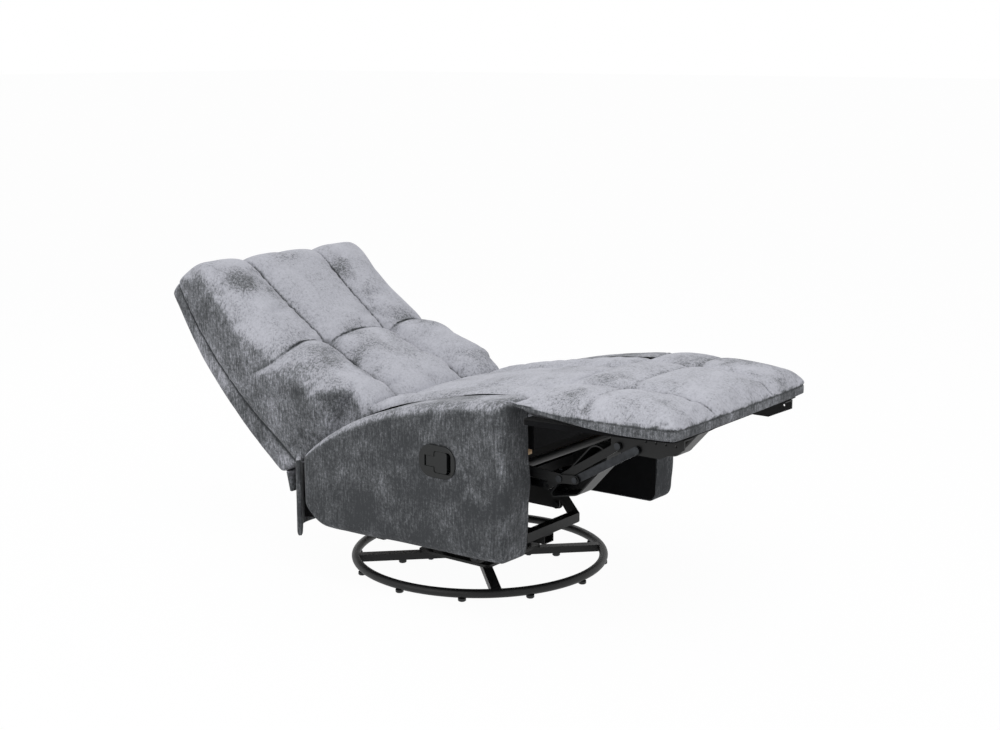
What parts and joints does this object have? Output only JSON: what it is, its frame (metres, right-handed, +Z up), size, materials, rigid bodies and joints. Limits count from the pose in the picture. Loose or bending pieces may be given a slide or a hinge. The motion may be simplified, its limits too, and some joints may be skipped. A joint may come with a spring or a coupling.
{
  "type": "swivel glider recliner",
  "caption": "Armed recliner lying back with its footrest out, tufted grey upholstery, steel scissor linkage, glider rails and a round tube swivel base.",
  "frame": {"origin": "on the floor under the middle of the reclined chair's length and width, 24 mm behind the swivel axis", "axes": "+Z up, the chair faces -Y, +X to the sitter's left"},
  "size_m": [0.7656, 1.566, 0.738],
  "materials": {
    "grey_chenille": "soft mottled nap",
    "black_cloth": "matt woven lining",
    "plywood": "raw",
    "lined_plywood": "plywood wrapped in black lining",
    "black_steel": "satin powder coat",
    "zinc_steel": "zinc plated",
    "spring_steel": "oiled wire",
    "black_plastic": "fine grain"
  },
  "bodies": {
    "base": {"base_ring": "black_steel", "base_spokes": "black_steel", "floor_glides": "black_plastic", "hub_plate": "black_steel", "bearing_lower_race": "black_steel", "bearing_balls": "zinc_steel", "hub_bolts": "zinc_steel", "pivot_bolt": "zinc_steel"},
    "glide_base": {"bearing_upper_race": "black_steel", "glide_runners": "black_steel", "glide_cross_beams": "black_steel", "glide_ears": "black_steel", "glide_base_bolts": "zinc_steel", "glide_upper_pins": "zinc_steel"},
    "front_links": {"front_glide_links": "black_steel"},
    "rear_links": {"rear_glide_links": "black_steel"},
    "chair_body": {"glide_rails": "black_steel", "glide_lower_pins": "zinc_steel", "left_side_plate": "black_steel", "right_side_plate": "black_steel", "cross_tubes": "black_steel", "frame_bolts": "zinc_steel", "fixed_pivot_pins": "zinc_steel", "left_arm_panel": "lined_plywood", "right_arm_panel": "lined_plywood", "left_arm_pad": "grey_chenille", "right_arm_pad": "grey_chenille", "arm_linings": "black_cloth", "arm_bolts": "zinc_steel", "arm_spacers": "zinc_steel", "handle_bezel": "black_plastic", "lever_pin": "zinc_steel", "seat_cushion": "grey_chenille", "seat_front_rail": "lined_plywood", "seat_rear_rail": "plywood", "seat_side_rails": "plywood", "seat_springs": "spring_steel", "rear_rail": "plywood", "rear_fascia": "grey_chenille"},
    "release": {"release_lever": "black_plastic"},
    "back": {"back_cushion": "grey_chenille", "back_side_panels": "lined_plywood", "back_rear_panel": "grey_chenille", "back_cross_rails": "plywood", "back_springs": "spring_steel", "back_hinge_brackets": "black_steel", "back_lower_flap": "grey_chenille"},
    "lower_arms": {"lower_links": "black_steel", "torque_tube": "black_steel", "elbow_rivets": "zinc_steel"},
    "upper_arms": {"upper_links": "black_steel", "knee_rivets": "zinc_steel", "finger_guards": "black_plastic"},
    "driver_arms": {"driver_links": "zinc_steel"},
    "footrest": {"footrest_board": "lined_plywood", "footrest_pad": "grey_chenille", "footrest_brackets": "black_steel", "footrest_rivets": "zinc_steel", "footrest_screws": "zinc_steel"},
    "outer_arms": {"outer_links": "zinc_steel"}
  },
  "joints": [
    {"name": "swivel", "type": "hinge", "parent": "base", "child": "glide_base", "pos_m": [0, -0.024, 0.05], "axis": [0, 0, 1], "continuous": true},
    {"name": "glide_front", "type": "hinge", "parent": "glide_base", "child": "front_links", "pos_m": [0, -0.109, 0.172], "axis": [1, 0, 0], "range_deg": [-20.5, 20.5]},
    {"name": "glide_rear", "type": "hinge", "parent": "glide_base", "child": "rear_links", "pos_m": [0, 0.081, 0.172], "axis": [1, 0, 0], "range_deg": [-20, 20]},
    {"name": "glide_carry", "type": "hinge", "parent": "rear_links", "child": "chair_body", "pos_m": [0, 0.081, 0.11], "axis": [1, 0, 0], "range_deg": [-20.5, 20.5]},
    {"name": "recline", "type": "hinge", "parent": "chair_body", "child": "back", "pos_m": [0, 0.166, 0.354], "axis": [1, 0, 0], "range_deg": [0, 40]},
    {"name": "footrest_fold", "type": "hinge", "parent": "chair_body", "child": "lower_arms", "pos_m": [0, -0.274, 0.355], "axis": [1, 0, 0], "range_deg": [0, 107.4]},
    {"name": "driver_pivot", "type": "hinge", "parent": "chair_body", "child": "driver_arms", "pos_m": [0, -0.23615, 0.32853], "axis": [1, 0, 0], "range_deg": [-0.5, 108.61]},
    {"name": "knee_pivot", "type": "hinge", "parent": "lower_arms", "child": "upper_arms", "pos_m": [0, -0.45369, 0.3445], "axis": [1, 0, 0], "range_deg": [-112.6, 0.5]},
    {"name": "footrest_pivot", "type": "hinge", "parent": "upper_arms", "child": "footrest", "pos_m": [0, -0.605, 0.442], "axis": [1, 0, 0], "range_deg": [-0.5, 95.2]},
    {"name": "outer_pivot", "type": "hinge", "parent": "footrest", "child": "outer_arms", "pos_m": [0, -0.65313, 0.44021], "axis": [1, 0, 0], "range_deg": [-95.2, 0.5]},
    {"name": "release_lever_pull", "type": "hinge", "parent": "chair_body", "child": "release", "pos_m": [-0.378, -0.1665, 0.3675], "axis": [0, 0, -1], "range_deg": [0, 35], "stiffness_Nm_per_rad": 0.2, "springref_deg": -11.46}
  ],
  "couplings": [
    {"joint": "glide_front", "follows": "glide_rear", "ratio": 1},
    {"joint": "glide_carry", "follows": "glide_rear", "ratio": -1},
    {"joint": "knee_pivot", "follows": "footrest_fold", "ratio": -1.0392},
    {"joint": "footrest_pivot", "follows": "footrest_fold", "ratio": 0.87716},
    {"joint": "driver_pivot", "follows": "footrest_fold", "ratio": 1.002},
    {"joint": "outer_pivot", "follows": "footrest_fold", "ratio": -0.8771}
  ]
}
